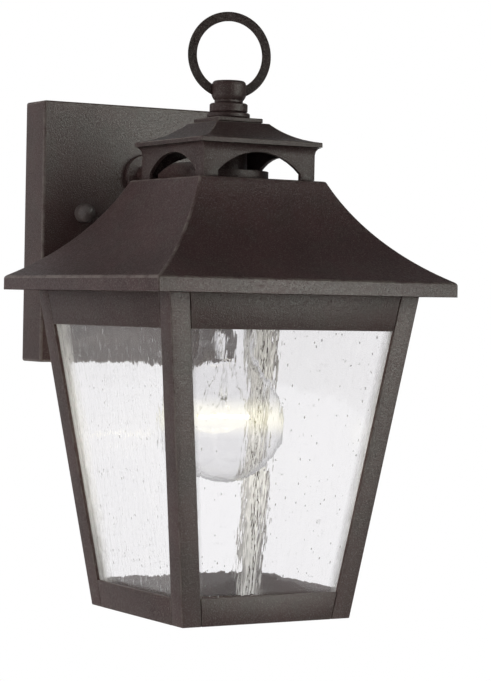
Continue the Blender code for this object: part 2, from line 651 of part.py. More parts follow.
def make_cap():
    """Small hollow-sided cap with a square rim."""
    rim_top = CAP_FOOT + CAP_RIM
    centre = curve_centre((CAP_TOP_HALF, CAP_TOP), (CAP_HALF, rim_top), CAP_CURVE_RADIUS)
    inner_half = CAP_TOP_HALF - CAP_THICKNESS
    seat_half = CAP_HALF - CAP_SEAT
    inside = hollow_curve(centre, CAP_CURVE_RADIUS + CAP_THICKNESS, inner_half, seat_half, CAP_CURVE_STEPS)
    outside = hollow_curve(centre, CAP_CURVE_RADIUS, CAP_HALF, CAP_TOP_HALF, CAP_CURVE_STEPS)
    profile = [(inner_half, CAP_TOP - CAP_THICKNESS)] + inside[1:]
    profile += [(seat_half, CAP_FOOT), (CAP_HALF, CAP_FOOT)] + outside
    cap = part("cupola_cap", loft([square(half, height) for half, height in profile]), BRONZE, lantern_frame)
    through = (CAP_TOP - 2 * CAP_THICKNESS, CAP_TOP + CAP_THICKNESS)
    shape_with(cap, [tool("cap_rod_hole", turned([(ROD_HOLE_RADIUS, z) for z in through], ROUND_SMALL),
                          lantern_frame)])


make_cupola()
make_cap()


# ---- Centre stack: hub, nipple, rod and finial ----
def make_hub():
    """Cast tee: the arm enters from the wall side, the nipple from below and the rod from above."""
    flange_top = CUPOLA_FOOT + HUB_FLANGE_HEIGHT
    hub = part("hub",
               turned([(HUB_FLANGE_RADIUS, CUPOLA_FOOT), (HUB_FLANGE_RADIUS, flange_top),
                       (HUB_RADIUS, flange_top), (HUB_RADIUS, HUB_TOP)]), BRONZE, lantern_frame)
    from_below = turned([(NIPPLE_HOLE_RADIUS, ROOF_HEIGHT), (NIPPLE_HOLE_RADIUS, ARM_HEIGHT)], ROUND_SMALL)
    from_above = turned([(ROD_HOLE_RADIUS, ARM_HEIGHT), (ROD_HOLE_RADIUS, HUB_TOP + GAP)], ROUND_SMALL)
    arm_bore = turned([(ARM_RADIUS + THREAD_GAP, -NIPPLE_HOLE_RADIUS),
                       (ARM_RADIUS + THREAD_GAP, HUB_FLANGE_RADIUS + GAP)], ROUND_SMALL)
    shape_with(hub, [tool("hub_nipple_bore", from_below, lantern_frame),
                     tool("hub_rod_bore", from_above, lantern_frame),
                     tool("hub_arm_bore", arm_bore, lantern_frame, (0.0, 0.0, ARM_HEIGHT),
                          (-math.pi / 2, 0.0, 0.0))])


def make_nipple():
    """Hollow threaded nipple that carries the socket and clamps the roof to the hub."""
    low = SOCKET_CEILING + ROOF_THICKNESS + GAP
    high = CUPOLA_FOOT + HUB_FLANGE_HEIGHT - NIPPLE_STOP
    part("lamp_nipple", tube(NIPPLE_RADIUS, NIPPLE_BORE_RADIUS, low, high, ROUND_SMALL), ZINC, lantern_frame)
    washer_top = ROOF_CEILING - GAP
    washer_low = washer_top - ROOF_WASHER_THICKNESS
    part("roof_washer", tube(ROOF_WASHER_RADIUS, NIPPLE_HOLE_RADIUS, washer_low, washer_top),
         ZINC, lantern_frame)
    nut_top = washer_low - GAP
    part("roof_nut", hex_nut(ROOF_NUT_FLATS, NIPPLE_HOLE_RADIUS, nut_top - ROOF_NUT_HEIGHT, nut_top),
         ZINC, lantern_frame)
    seat = SOCKET_TOP + GAP
    part("socket_nut", hex_nut(SOCKET_NUT_FLATS, NIPPLE_HOLE_RADIUS, seat, seat + SOCKET_NUT_HEIGHT),
         ZINC, lantern_frame)


PLINTH_FOOT = CAP_TOP + GAP
WASHER_FOOT = PLINTH_FOOT + PLINTH_HEIGHT + GAP
COLLAR_FOOT = WASHER_FOOT + WASHER_HEIGHT + GAP
KNOB_FOOT = COLLAR_FOOT + COLLAR_HEIGHT + GAP
RING_CENTRE = KNOB_FOOT + RING_SIT + RING_RADIUS
ROD_TOP = KNOB_FOOT + RING_SIT - RING_ROD_RADIUS - ROD_TO_RING


def make_finial():
    """Square plinth, washer and collar on the rod, then the knob that carries the upright ring."""
    part("finial_rod", turned([(ROD_RADIUS, HUB_TOP - ROD_IN_HUB), (ROD_RADIUS, ROD_TOP)], ROUND_SMALL),
         ZINC, lantern_frame)
    plinth = part("finial_plinth", box((-PLINTH_HALF, -PLINTH_HALF, PLINTH_FOOT),
                                       (PLINTH_HALF, PLINTH_HALF, PLINTH_FOOT + PLINTH_HEIGHT)),
                  BRONZE, lantern_frame)
    through = (PLINTH_FOOT - GAP, PLINTH_FOOT + PLINTH_HEIGHT + GAP)
    shape_with(plinth, [tool("plinth_rod_hole", turned([(ROD_HOLE_RADIUS, z) for z in through], ROUND_SMALL),
                             lantern_frame)])
    part("finial_washer", tube(WASHER_RADIUS, ROD_HOLE_RADIUS, WASHER_FOOT, WASHER_FOOT + WASHER_HEIGHT),
         BRONZE, lantern_frame)
    part("finial_collar", tube(COLLAR_RADIUS, ROD_HOLE_RADIUS, COLLAR_FOOT, COLLAR_FOOT + COLLAR_HEIGHT),
         BRONZE, lantern_frame)

    # The knob and ring turn on the rod, so their origin is at the knob's foot, on the centre line.
    place = (0.0, 0.0, KNOB_FOOT)
    profile = [(ROD_HOLE_RADIUS, ROD_TOP - KNOB_FOOT + GAP), (ROD_HOLE_RADIUS, 0.0), (NECK_RADIUS, 0.0),
               (NECK_RADIUS, NECK_HEIGHT)]
    profile += [(across * KNOB_RADIUS, NECK_HEIGHT + up * (KNOB_HEIGHT - NECK_HEIGHT))
                for across, up in KNOB_OUTLINE]
    knob = part("finial_knob", turned(profile), BRONZE, lantern_frame, place)
    shape_with(knob, [tool("knob_ring_bore", ring_mesh(RING_ROD_RADIUS + THREAD_GAP), lantern_frame, place,
                           (0.0, 0.0, RING_TURN))])
    part("finial_ring", ring_mesh(RING_ROD_RADIUS), BRONZE, lantern_frame, place, (0.0, 0.0, RING_TURN))


def ring_mesh(rod_radius):
    """An upright ring whose lowest point passes through the knob."""
    loops = []
    for index in range(RING_STEPS):
        around = 2 * math.pi * index / RING_STEPS
        loop = []
        for step in range(RING_SIDES):
            angle = 2 * math.pi * step / RING_SIDES
            radius = RING_RADIUS + rod_radius * math.cos(angle)
            loop.append((radius * math.sin(around), rod_radius * math.sin(angle),
                         RING_SIT + RING_RADIUS - radius * math.cos(around)))
        loops.append(loop)
    return loft(loops, closed_section=True)


make_hub()
make_nipple()
make_finial()


# ---- Lamp socket and bulb ----
def make_socket():
    """Porcelain socket with a screw shell and a centre contact, open downwards."""
    body = turned([(SOCKET_BORE, SOCKET_CEILING), (SOCKET_BORE, SOCKET_MOUTH), (SOCKET_RADIUS, SOCKET_MOUTH),
                   (SOCKET_RADIUS, SOCKET_TOP - SOCKET_SHOULDER),
                   (SOCKET_RADIUS - SOCKET_SHOULDER, SOCKET_TOP)])
    socket = part("socket_body", body, PORCELAIN, lantern_frame)
    nipple_bore = turned([(NIPPLE_HOLE_RADIUS, SOCKET_CEILING + ROOF_THICKNESS),
                          (NIPPLE_HOLE_RADIUS, SOCKET_TOP + ROOF_THICKNESS)], ROUND_SMALL)
    shape_with(socket, [tool("socket_nipple_bore", nipple_bore, lantern_frame)])

    shell_top = SOCKET_CEILING - GAP
    shell_low = SOCKET_MOUTH + SHELL_INSET
    inner = SHELL_OUTER - SOCKET_SHELL_WALL
    hole = BASE_RADIUS * SHELL_HOLE_SHARE
    part("socket_shell",
         turned([(inner, shell_low), (SHELL_OUTER, shell_low), (SHELL_OUTER, shell_top), (hole, shell_top),
                 (hole, shell_top - SOCKET_SHELL_WALL), (inner, shell_top - SOCKET_SHELL_WALL)],
                closed_section=True), NICKEL, lantern_frame)
    pad = BASE_RADIUS * CONTACT_SHARE
    stalk = BASE_RADIUS * CONTACT_STEM_SHARE
    pad_low = BASE_TIP + GAP
    pad_high = pad_low + SOCKET_SHELL_WALL
    part("socket_contact",
         turned([(pad, pad_low), (pad, pad_high), (stalk, pad_high), (stalk, shell_top)], ROUND_SMALL),
         BRASS, lantern_frame)


def bulb_outline(offset):
    """(radius, height) points of the pear-shaped bulb from its lowest point to its neck."""
    ball_centre = BULB_BOTTOM + BULB_RADIUS
    ball = BULB_RADIUS - offset
    points = []
    for index in range(1, BALL_STEPS + 1):
        angle = (math.pi / 2 + BULB_BALL_END) * index / BALL_STEPS - math.pi / 2
        points.append((ball * math.cos(angle), ball_centre + ball * math.sin(angle)))
    # Above the ball, a hollow shoulder eases the outline into the straight neck.
    start_radius, start_height = points[-1]
    neck_radius = BULB_NECK_RADIUS - offset
    neck_height = BASE_FOOT - BULB_NECK_LENGTH
    pull = BULB_PULL * (neck_height - start_height)
    first = (start_radius - pull * math.sin(BULB_BALL_END), start_height + pull * math.cos(BULB_BALL_END))
    second = (neck_radius, neck_height - pull)
    for index in range(1, NECK_STEPS + 1):
        t = index / NECK_STEPS
        weights = ((1 - t) ** 3, 3 * t * (1 - t) ** 2, 3 * t * t * (1 - t), t ** 3)
        anchors = ((start_radius, start_height), first, second, (neck_radius, neck_height))
        points.append(tuple(sum(w * anchor[axis] for w, anchor in zip(weights, anchors)) for axis in (0, 1)))
    points.append((BASE_RADIUS - GAP - offset, BASE_FOOT - GAP))
    return points


def make_bulb():
    """Clear screw-base bulb; its pieces share an origin on the centre line, at the base's foot."""
    place = (0.0, 0.0, BASE_FOOT)

    def lowered(points):
        return [(radius, height - BASE_FOOT) for radius, height in points]

    outside = lowered(bulb_outline(0.0))
    inside = lowered(bulb_outline(BULB_GLASS_WALL))
    part("bulb_glass", turned(inside[::-1] + outside), CLEAR_GLASS, lantern_frame, place)

    bore = BASE_RADIUS - BASE_WALL
    base = lowered([(bore, BASE_SHOULDER - BASE_CROWN), (bore, BASE_FOOT), (BASE_RADIUS, BASE_FOOT),
                    (BASE_RADIUS, BASE_SHOULDER), (BASE_TIP_OUTER * BASE_RADIUS, BASE_TIP - BASE_WALL),
                    (BASE_TIP_INNER * BASE_RADIUS, BASE_TIP)])
    part("bulb_base", turned(base), NICKEL, lantern_frame, place)

    stem_top = BASE_FOOT - GAP
    stem = lowered([(across * STEM_RADIUS, stem_top - down * STEM_LENGTH) for across, down in STEM_OUTLINE])
    part("bulb_stem", turned(stem, ROUND_SMALL), CLEAR_GLASS, lantern_frame, place)


make_socket()
make_bulb()
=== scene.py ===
import math

import bmesh
import bpy
from mathutils import Matrix, Vector


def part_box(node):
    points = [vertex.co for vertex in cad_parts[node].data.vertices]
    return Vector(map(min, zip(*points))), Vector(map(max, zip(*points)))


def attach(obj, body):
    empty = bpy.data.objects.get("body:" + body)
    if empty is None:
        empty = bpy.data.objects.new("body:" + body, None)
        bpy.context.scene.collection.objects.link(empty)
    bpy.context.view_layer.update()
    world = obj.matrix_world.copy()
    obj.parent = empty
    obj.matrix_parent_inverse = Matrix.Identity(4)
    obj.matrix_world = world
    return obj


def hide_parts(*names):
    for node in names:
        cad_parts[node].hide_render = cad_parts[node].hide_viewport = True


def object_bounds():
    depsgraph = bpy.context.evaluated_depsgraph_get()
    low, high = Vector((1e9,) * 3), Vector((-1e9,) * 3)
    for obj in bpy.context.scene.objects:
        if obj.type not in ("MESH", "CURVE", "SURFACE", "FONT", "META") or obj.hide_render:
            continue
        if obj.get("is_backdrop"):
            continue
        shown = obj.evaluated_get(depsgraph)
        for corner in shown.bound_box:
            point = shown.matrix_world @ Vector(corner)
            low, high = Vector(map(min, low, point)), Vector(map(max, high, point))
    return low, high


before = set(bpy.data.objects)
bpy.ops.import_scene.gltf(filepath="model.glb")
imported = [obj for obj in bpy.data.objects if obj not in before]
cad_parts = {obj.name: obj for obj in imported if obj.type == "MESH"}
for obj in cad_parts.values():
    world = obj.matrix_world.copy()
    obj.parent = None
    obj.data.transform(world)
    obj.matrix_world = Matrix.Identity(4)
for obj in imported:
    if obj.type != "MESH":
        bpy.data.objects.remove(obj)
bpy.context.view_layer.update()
scene = bpy.context.scene


# ---- Where the lantern is seen from ----
# A portrait view from the lantern's left front corner, nearly level with the eave, on a long lens.
# The distance and the two aims are in millimetres.
def link_object(name, data):
    """A new object in the scene that holds the data."""
    result = bpy.data.objects.new(name, data)
    scene.collection.objects.link(result)
    return result


MM = 0.001
eave_low, eave_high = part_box("roof")
axis = Vector(((eave_low.x + eave_high.x) / 2, (eave_low.y + eave_high.y) / 2, eave_low.z))
turn = math.radians(-30.69)
rise = math.radians(0.82)
lean = math.radians(1.12)
distance = 1157.08
aim_right = 10.22
aim_down = 23.48
away = Vector((math.sin(turn) * math.cos(rise), -math.cos(turn) * math.cos(rise), math.sin(rise)))
level = Vector((math.cos(turn), math.sin(turn), 0.0))
upright = away.cross(level)
right = level * math.cos(lean) + upright * math.sin(lean)
top = upright * math.cos(lean) - level * math.sin(lean)
camera_data = bpy.data.cameras.new("camera")
camera_data.lens = 122.65
camera_data.sensor_width = 36.0
camera_data.clip_start = 0.05
camera_data.clip_end = 20.0
camera = link_object("camera", camera_data)
eye = axis + away * distance * MM + right * aim_right * MM - top * aim_down * MM
camera.matrix_world = Matrix.Translation(eye) @ Matrix((right, top, away)).transposed().to_4x4()
scene.camera = camera


# ---- Floor and light ----
# A pale floor two metres under the lantern, in a white room that is brighter towards the wall and
# darker towards the ceiling. A large soft panel stands in front on the right, level with the
# lantern, and shows in the coat of the front faces as a dull olive sheen, but not in the glass.
def plain_material(name):
    """An empty node material, its node tree and its shader."""
    material = bpy.data.materials.new(name)
    material.use_nodes = True
    tree = material.node_tree
    return material, tree, tree.nodes["Principled BSDF"]


def reckoned(tree, operation, first, second=0.0):
    """A sum in a node tree; each value is a number or a socket."""
    result = tree.nodes.new("ShaderNodeMath")
    result.operation = operation
    for socket, value in zip(result.inputs, (first, second)):
        if isinstance(value, (int, float)):
            socket.default_value = value
        else:
            tree.links.new(value, socket)
    return result.outputs[0]


def spread(tree, value, low, high, to_low=0.0, to_high=1.0, curve="LINEAR"):
    """A value stretched from one range to another in a node tree, and held within it."""
    result = tree.nodes.new("ShaderNodeMapRange")
    result.interpolation_type = curve
    sockets = [result.inputs[end] for end in ("From Min", "From Max", "To Min", "To Max")]
    for socket, number in zip(sockets, (low, high, to_low, to_high)):
        if isinstance(number, (int, float)):
            socket.default_value = number
        else:
            tree.links.new(number, socket)
    tree.links.new(value, result.inputs["Value"])
    return result.outputs["Result"]


def mixed(tree, share, first, second):
    """Two colours mixed by a share in a node tree; each colour is a tuple or a socket."""
    mix = tree.nodes.new("ShaderNodeMix")
    mix.data_type = "RGBA"
    tree.links.new(share, mix.inputs["Factor"])
    for socket, colour in ((mix.inputs["A"], first), (mix.inputs["B"], second)):
        if isinstance(colour, tuple):
            socket.default_value = (*colour, 1.0)
        else:
            tree.links.new(colour, socket)
    return mix.outputs["Result"]


floor_half = 4.0
floor_middle = (0.0, -0.35, -2.2)
floor_shape = bmesh.new()
bmesh.ops.create_grid(floor_shape, x_segments=1, y_segments=1, size=floor_half)
bmesh.ops.translate(floor_shape, verts=floor_shape.verts, vec=floor_middle)
floor_mesh = bpy.data.meshes.new("floor")
floor_shape.to_mesh(floor_mesh)
floor_shape.free()
floor_paint, _, shader = plain_material("pale_floor")
shader.inputs["Base Color"].default_value = (0.82, 0.82, 0.81, 1.0)
shader.inputs["Roughness"].default_value = 0.8
floor_mesh.materials.append(floor_paint)
floor = link_object("floor", floor_mesh)
floor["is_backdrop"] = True

room = bpy.data.worlds.new("white_room")
room.use_nodes = True
scene.world = room
sky = room.node_tree
background = sky.nodes["Background"]
direction = sky.nodes.new("ShaderNodeTexCoord")
height = sky.nodes.new("ShaderNodeSeparateXYZ")
sky.links.new(direction.outputs["Generated"], height.inputs["Vector"])


def towards(heading):
    """How far the looked-at direction points along a heading."""
    dot = sky.nodes.new("ShaderNodeVectorMath")
    dot.operation = "DOT_PRODUCT"
    dot.inputs[1].default_value = heading
    sky.links.new(direction.outputs["Generated"], dot.inputs[0])
    return dot.outputs["Value"]


bright_side = (-0.5, 0.85, 0.0)
panel_side = (0.515, -0.857, 0.0)
panel_across = (0.857, 0.514, 0.0)
panel_level = 0.13
panel_half_width = 0.40
panel_half_height = 0.55
panel_strength = 4.7
panel_colour = (0.90, 1.0, 0.93)
seen_in_glass = 0.6
path = sky.nodes.new("ShaderNodeLightPath")
depth = path.outputs["Diffuse Depth"]
mirrored = path.outputs["Is Singular Ray"]
first_bounce = reckoned(sky, "LESS_THAN", depth, 0.5)
falling = spread(sky, height.outputs["Z"], 0.3, 0.95, 1.0, 0.2, "SMOOTHSTEP")
walls = reckoned(sky, "MULTIPLY", falling, spread(sky, towards(bright_side), -1.0, 1.0, 0.03, 1.9))
walls = reckoned(sky, "MULTIPLY", walls, spread(sky, depth, 0.0, 1.0, 0.21, 1.0))
across = reckoned(sky, "DIVIDE", towards(panel_across), panel_half_width)
above = reckoned(sky, "SUBTRACT", height.outputs["Z"], panel_level)
up = reckoned(sky, "DIVIDE", above, panel_half_height)
squares = [reckoned(sky, "POWER", part, 2.0) for part in (across, up)]
panel = spread(sky, reckoned(sky, "ADD", *squares), 1.3, 0.7, 0.0, panel_strength)
in_front = reckoned(sky, "GREATER_THAN", towards(panel_side), 0.0)
panel = reckoned(sky, "MULTIPLY", panel, in_front)
panel = reckoned(sky, "MULTIPLY", panel, reckoned(sky, "SUBTRACT", first_bounce, mirrored))
colour = mixed(sky, spread(sky, panel, 0.0, 2.0), (1.0, 1.0, 1.0), panel_colour)
lit = reckoned(sky, "ADD", walls, reckoned(sky, "MAXIMUM", panel, 0.0))
lit = reckoned(sky, "MAXIMUM", lit, reckoned(sky, "MULTIPLY", mirrored, seen_in_glass))
bounces = reckoned(sky, "ADD", depth, path.outputs["Glossy Depth"])
sky.links.new(colour, background.inputs["Color"])
sky.links.new(spread(sky, bounces, 0.0, 1.0, 1.0, lit), background.inputs["Strength"])
room.cycles.sampling_method = "NONE"
scene.view_settings.view_transform = "Standard"
scene.cycles.max_bounces = 24
scene.cycles.transmission_bounces = 24
scene.cycles.transparent_max_bounces = 24


# ---- Backplate ----
# Shallow box pressed from steel sheet, open to the wall, with folded corners ground round. It has
# the dark bronze, slightly sandy powder coat that covers all the outer metalwork.
def noise(tree, scale, detail=2.0, roughness=0.5):
    """Noise on the object's own coordinates."""
    place = tree.nodes.new("ShaderNodeTexCoord")
    texture = tree.nodes.new("ShaderNodeTexNoise")
    texture.inputs["Scale"].default_value = scale
    texture.inputs["Detail"].default_value = detail
    texture.inputs["Roughness"].default_value = roughness
    tree.links.new(place.outputs["Object"], texture.inputs["Vector"])
    return texture.outputs["Fac"]


def dented(tree, height, distance, strength, under=None):
    """A surface dented by a height, on top of the dents under it."""
    bump = tree.nodes.new("ShaderNodeBump")
    bump.inputs["Strength"].default_value = strength
    bump.inputs["Distance"].default_value = distance
    tree.links.new(height, bump.inputs["Height"])
    if under is not None:
        tree.links.new(under, bump.inputs["Normal"])
    return bump.outputs["Normal"]


def bronze_coat(name, brown, grey, grain, sheen=0.5):
    """Sandy powder coat of a grain size, cloudy brown with grey specks; edges lighter, partly wear
    and partly a painted highlight.
    """
    material, tree, shader = plain_material(name)
    olive = (0.058, 0.046, 0.038)
    rubbed_and_highlit = (0.20, 0.165, 0.145)
    darker = tuple(0.72 * part for part in brown)
    cloud = noise(tree, 1.0 / (28 * MM), 4.0, 0.55)
    stain = noise(tree, 1.0 / (12 * MM), 4.0, 0.55)
    rub = noise(tree, 1.0 / (6 * MM), 3.0, 0.55)
    sand = noise(tree, 1.0 / grain, 3.0, 0.7)
    dust = noise(tree, 1.0 / (grain * 0.45), 2.0, 0.55)
    edge = tree.nodes.new("ShaderNodeAttribute")
    edge.attribute_name = "worn_and_highlit_edge"
    # Lighter colour on the rounded edges: partly wear, partly a painted highlight.
    worn_and_highlit = reckoned(tree, "MULTIPLY", edge.outputs["Fac"], spread(tree, rub, 0.35, 0.6, 0.1, 0.6))
    tone = mixed(tree, spread(tree, cloud, 0.35, 0.68), darker, brown)
    tone = mixed(tree, spread(tree, stain, 0.50, 0.64, 0.0, 0.3), tone, olive)
    tone = mixed(tree, spread(tree, dust, 0.52, 0.68, 0.0, 0.8), tone, grey)
    tone = mixed(tree, worn_and_highlit, tone, rubbed_and_highlit)
    tree.links.new(tone, shader.inputs["Base Color"])
    tree.links.new(spread(tree, sand, 0.3, 0.7, 0.30, 0.54), shader.inputs["Roughness"])
    shader.inputs["Specular IOR Level"].default_value = sheen
    coarse = dented(tree, sand, 0.2 * MM, 0.7)
    tree.links.new(dented(tree, dust, 0.15 * MM, 0.9, coarse), shader.inputs["Normal"])
    return material


def made(name, shape, finish, slot, body, *nodes_replaced):
    """The finished piece of a shape: its surface, what it rides on and what it stands for."""
    mesh = bpy.data.meshes.new(name)
    shape.to_mesh(mesh)
    shape.free()
    mesh.materials.append(finish)
    mesh.shade_smooth()
    sharp_above = math.radians(35.0)
    mesh.set_sharp_from_angle(angle=sharp_above)
    result = link_object(name, mesh)
    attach(result, body)
    if nodes_replaced:
        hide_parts(*nodes_replaced)
    return result


def rounded(shape, width, steps=2, sharper_than=40.0):
    """Rounds a shape's edges that turn more sharply than an angle, and marks them for a lighter edge
    colour that is partly wear and partly painted highlight.
    """
    layers = shape.faces.layers.float
    worn_and_highlit = layers.get("worn_and_highlit_edge") or layers.new("worn_and_highlit_edge")
    least = math.radians(sharper_than)
    edges = [edge for edge in shape.edges
             if len(edge.link_faces) == 2 and edge.calc_face_angle(0.0) > least]
    grown = bmesh.ops.bevel(shape, geom=edges, offset=width, offset_type="OFFSET", segments=steps,
                            profile=0.5, affect="EDGES", clamp_overlap=True, material=-1)
    for face in grown["faces"]:
        face[worn_and_highlit] = 1.0
    return shape


SHEET_COAT = bronze_coat("sheet_bronze_coat", brown=(0.066, 0.030, 0.029),
                         grey=(0.19, 0.165, 0.145), grain=1.1 * MM)
fold_radius = 1.3 * MM
sheet = 1.5 * MM
plate_low, plate_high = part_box("backplate")
plate = bmesh.new()
bmesh.ops.create_cube(plate, size=1.0)
bmesh.ops.scale(plate, verts=plate.verts, vec=plate_high - plate_low)
bmesh.ops.translate(plate, verts=plate.verts, vec=(plate_low + plate_high) / 2)
back_faces = [face for face in plate.faces if face.normal.y > 0.9]
bmesh.ops.delete(plate, geom=back_faces, context="FACES_ONLY")
rounded(plate, fold_radius, 4)
bmesh.ops.recalc_face_normals(plate, faces=plate.faces)
bmesh.ops.solidify(plate, geom=plate.faces[:], thickness=sheet)
made("backplate_shell", plate, SHEET_COAT, "sheet_bronze_finish", "lantern", "backplate")


# ---- Mounting strap, studs, nuts and earth screw ----
# Zinc-plated steel strap that is screwed to the junction box. Two threaded studs stand in it, each
# locked by a hexagon nut, and a green screw takes the earth wire.
def plated_steel(name, colour, roughness, mottle):
    """Plated metal with faint cloudy patches and a fine grain."""
    material, tree, shader = plain_material(name)
    patches = noise(tree, 180.0, 5.0)
    shine = spread(tree, patches, 0.3, 0.7, roughness - 0.08, roughness + 0.12)
    tree.links.new(mixed(tree, patches, colour, mottle), shader.inputs["Base Color"])
    tree.links.new(shine, shader.inputs["Roughness"])
    shader.inputs["Metallic"].default_value = 1.0
    grain = dented(tree, noise(tree, 1600.0), 0.03 * MM, 0.2)
    tree.links.new(grain, shader.inputs["Normal"])
    return material


def cad_copy(node):
    """A merged copy of a CAD node with its flat faces joined."""
    shape = bmesh.new()
    shape.from_mesh(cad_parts[node].data)
    bmesh.ops.remove_doubles(shape, verts=shape.verts, dist=0.001 * MM)
    bmesh.ops.dissolve_limit(shape, angle_limit=math.radians(0.5), verts=shape.verts,
                             edges=shape.edges)
    return shape


def eased(name, node, width, finish, slot, steps=2):
    """The piece on the lantern's body that is a CAD node's copy with its edges rounded."""
    return made(name, rounded(cad_copy(node), width, steps), finish, slot, "lantern", node)


def turned(outline, steps=64):
    """A shape turned on the Z axis from (radius, height) points."""
    shape = bmesh.new()
    points = [shape.verts.new((radius, 0.0, height)) for radius, height in outline]
    for first, second in zip(points, points[1:]):
        shape.edges.new((first, second))
    bmesh.ops.spin(shape, geom=shape.verts[:] + shape.edges[:], cent=(0.0, 0.0, 0.0),
                   axis=(0.0, 0.0, 1.0), angle=2 * math.pi, steps=steps, use_merge=True)
    bmesh.ops.remove_doubles(shape, verts=shape.verts, dist=0.0005 * MM)
    bmesh.ops.recalc_face_normals(shape, faces=shape.faces)
    return shape


def swung(shape, verts, angle, letter):
    """Turns some of a shape's points about one of its axes."""
    bmesh.ops.rotate(shape, verts=verts, cent=(0.0, 0.0, 0.0),
                     matrix=Matrix.Rotation(angle, 3, letter))


def stood_out(shape, low, high):
    """Turns an upright shape to point out of the wall, from the middle of a box's wall side."""
    swung(shape, shape.verts, math.pi / 2, "X")
    foot = ((low.x + high.x) / 2, high.y, (low.z + high.z) / 2)
    bmesh.ops.translate(shape, verts=shape.verts, vec=foot)
    return shape


def threaded(radius, pitch, low, high):
    """Outline of a rod with thread grooves, from its lower end to its upper one."""
    root = radius - 0.3 * pitch
    outline = [(0.0, low), (root, low)]
    height = low
    while height + pitch < high:
        outline += [(root, height + 0.1 * pitch), (radius, height + 0.5 * pitch),
                    (root, height + 0.9 * pitch)]
        height += pitch
    return outline + [(root, high), (0.0, high)]


def hexagon_nut(flats, bore, height):
    """A hexagon nut on Z, its edges eased."""
    shape = bmesh.new()
    loops = []
    for foot, inner in ((0.0, True), (0.0, False), (height, False), (height, True)):
        ring = bmesh.ops.create_circle(shape, segments=24 if inner else 6, cap_ends=False,
                                       radius=bore if inner else flats / math.sqrt(3))
        bmesh.ops.translate(shape, verts=ring["verts"], vec=(0.0, 0.0, foot))
        loops.append(list({edge for vert in ring["verts"] for edge in vert.link_edges}))
    for lower, upper in zip(loops, loops[1:] + loops[:1]):
        bmesh.ops.bridge_loops(shape, edges=lower + upper)
    bmesh.ops.recalc_face_normals(shape, faces=shape.faces)
    return rounded(shape, 0.25 * MM)


ZINC = plated_steel("zinc_plate", (0.50, 0.51, 0.50), 0.36, (0.66, 0.64, 0.56))
GREEN = plated_steel("green_dyed_zinc", (0.03, 0.20, 0.08), 0.34, (0.05, 0.30, 0.10))
stud_radius = 2.0 * MM
stud_pitch = 0.7 * MM
eased("strap", "mounting_strap", 0.3 * MM, ZINC, "zinc_plated_steel")
for side in ("left", "right"):
    low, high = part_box("mounting_stud_" + side)
    stud = turned(threaded(stud_radius, stud_pitch, 0.0, high.y - low.y), 32)
    made("stud_" + side, stood_out(stud, low, high), ZINC, "zinc_plated_steel", "lantern",
         "mounting_stud_" + side)
    low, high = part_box("stud_nut_" + side)
    nut = hexagon_nut(flats=7.0 * MM, bore=2.3 * MM, height=high.y - low.y)
    made("lock_nut_" + side, stood_out(nut, low, high), ZINC, "zinc_plated_steel", "lantern",
         "stud_nut_" + side)
eased("earth_screw", "ground_screw", 0.25 * MM, GREEN, "green_screw")


# ---- Domed cap nuts ----
# Two turned nuts close the studs on the plate's face. Their coat is smoother than the plate's, and
# its lighter brown is painted light.
# A lighter brown than the plate's, painted light on the domes.
LIT_NUT_COAT = bronze_coat("cap_nut_lit_coat", brown=(0.13, 0.10, 0.095), grey=(0.24, 0.21, 0.19),
                       grain=0.8 * MM, sheen=1.0)
hole = 2.3 * MM
hole_depth = 5.5 * MM
chamfer = 0.4 * MM
skirt = 3.9 * MM
for side in ("left", "right"):
    low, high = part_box("cap_nut_" + side)
    radius = (high.x - low.x) / 2
    dome = high.y - low.y - skirt
    outline = [(0.0, hole_depth), (hole, hole_depth), (hole, 0.0), (radius - chamfer, 0.0),
               (radius, chamfer), (radius, skirt)]
    for index in range(1, 13):
        angle = math.pi / 2 * index / 12
        outline.append((radius * math.cos(angle), skirt + dome * math.sin(angle)))
    made("domed_nut_" + side, stood_out(turned(outline, 48), low, high), LIT_NUT_COAT,
         "sheet_bronze_finish", "cap_nut_" + side, "cap_nut_" + side)


# ---- Arm, its collar and nut ----
# Steel tube with the wires inside. It runs from behind the plate to the hub under the vented top,
# with a plain collar on the plate's face and a hexagon nut behind.
def tube(outer, inner, length, easing):
    """A tube on Z with eased outer edges."""
    outline = [(inner, 0.0), (outer - easing, 0.0), (outer, easing), (outer, length - easing),
               (outer - easing, length), (inner, length), (inner, 0.0)]
    return turned(outline, 48)


for name, node, inner, easing in (("arm_tube", "wall_arm", 3.3 * MM, 0.4 * MM),
                                  ("collar", "arm_collar", 4.9 * MM, 0.7 * MM)):
    low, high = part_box(node)
    shape = tube((high.x - low.x) / 2, inner, high.y - low.y, easing)
    made(name, stood_out(shape, low, high), SHEET_COAT, "sheet_bronze_finish", "lantern", node)
low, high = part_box("arm_nut")
nut = hexagon_nut(flats=15.0 * MM, bore=5.0 * MM, height=high.y - low.y)
made("tube_nut", stood_out(nut, low, high), ZINC, "zinc_plated_steel", "lantern", "arm_nut")


# ---- Roof ----
# Hollow-sided hipped roof, cast in one piece with its upright rim. The casting's hips are soft, and
# its coat is a little sandier than the sheet's.
def square_shell(levels):
    """A square shell about the lantern's axis from (half-width, height above the eave) levels."""
    shape = bmesh.new()
    half, height = levels[0]
    verts = bmesh.ops.create_circle(shape, segments=4, radius=half * math.sqrt(2),
                                    cap_ends=False)["verts"]
    swung(shape, verts, math.pi / 4, "Z")
    bmesh.ops.translate(shape, verts=verts, vec=(0.0, 0.0, height))
    edges = shape.edges[:]
    for next_half, next_height in levels[1:]:
        grown = bmesh.ops.extrude_edge_only(shape, edges=edges)["geom"]
        verts = [item for item in grown if isinstance(item, bmesh.types.BMVert)]
        edges = [item for item in grown if isinstance(item, bmesh.types.BMEdge)]
        bmesh.ops.scale(shape, verts=verts, vec=(next_half / half, next_half / half, 1.0))
        bmesh.ops.translate(shape, verts=verts, vec=(0.0, 0.0, next_height - height))
        half, height = next_half, next_height
    bmesh.ops.translate(shape, verts=shape.verts, vec=axis)
    return shape, edges


